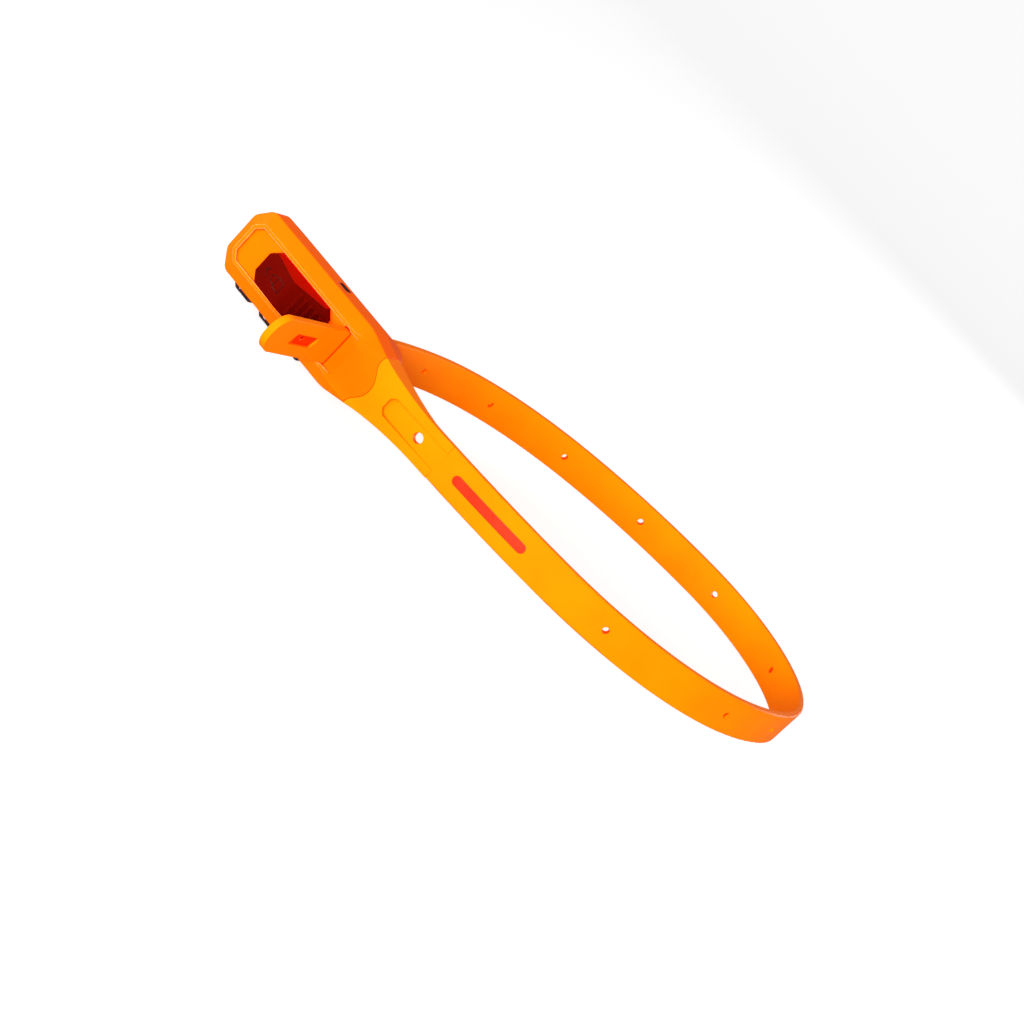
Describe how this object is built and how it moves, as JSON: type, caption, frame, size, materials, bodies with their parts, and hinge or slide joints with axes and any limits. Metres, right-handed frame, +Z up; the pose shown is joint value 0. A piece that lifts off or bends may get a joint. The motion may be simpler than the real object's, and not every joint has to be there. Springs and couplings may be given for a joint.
{
  "type": "combination strap lock",
  "caption": "Lockable strap tie: a flat moulded strap loops back through a long head with a thumb slider and a row of number dials.",
  "frame": {"origin": "under the middle of the whole object's box, at the lowest point of the number dials", "axes": "+X along the head towards the loop, +Y from the slider side to the head's back, +Z up along the strap's width, with the dials underneath"},
  "size_m": [0.1756, 0.1594, 0.0231],
  "materials": {
    "cover_orange": "fine moulded satin texture",
    "strap_orange": "smooth satin, slightly flexible",
    "slider_maroon": "satin, finely textured",
    "dial_black": "satin",
    "inlay_red": "smooth gloss",
    "steel": "brushed",
    "brass": "machined",
    "reset_dark": "satin"
  },
  "bodies": {
    "housing": {"front_cover": "cover_orange", "rear_cover": "cover_orange", "strap_guide": "steel", "detent_comb": "steel", "housing_screws": "steel", "anchor_pins": "steel", "strap": "strap_orange", "strap_core": "steel", "id_inlay": "inlay_red", "return_spring": "steel", "reset_spring": "steel"},
    "slider": {"release_slider": "slider_maroon", "slider_carriage": "steel", "slider_screw": "steel", "locking_bolt": "steel", "code_shaft": "steel"},
    "wheel_1": {"dial_1": "dial_black", "dial_cam_1": "brass"},
    "wheel_2": {"dial_2": "dial_black", "dial_cam_2": "brass"},
    "wheel_3": {"dial_3": "dial_black", "dial_cam_3": "brass"},
    "reset": {"reset_button": "reset_dark"}
  },
  "joints": [
    {"name": "slider_slide", "type": "slide", "parent": "housing", "child": "slider", "axis": [-1, 0, 0], "range_m": [0, 0.0024], "stiffness_N_per_m": 400, "springref_m": -0.003, "deforming": ["return_spring"]},
    {"name": "dial_1_turn", "type": "hinge", "parent": "housing", "child": "wheel_1", "pos_m": [-0.07769, -0.04068, 0.00612], "axis": [1, 0, 0], "continuous": true},
    {"name": "dial_2_turn", "type": "hinge", "parent": "housing", "child": "wheel_2", "pos_m": [-0.06719, -0.04068, 0.00612], "axis": [1, 0, 0], "continuous": true},
    {"name": "dial_3_turn", "type": "hinge", "parent": "housing", "child": "wheel_3", "pos_m": [-0.05669, -0.04068, 0.00612], "axis": [1, 0, 0], "continuous": true},
    {"name": "reset_push", "type": "slide", "parent": "housing", "child": "reset", "axis": [0, 0, -1], "range_m": [0, 0.001], "stiffness_N_per_m": 200, "springref_m": -0.002, "deforming": ["reset_spring"]}
  ]
}
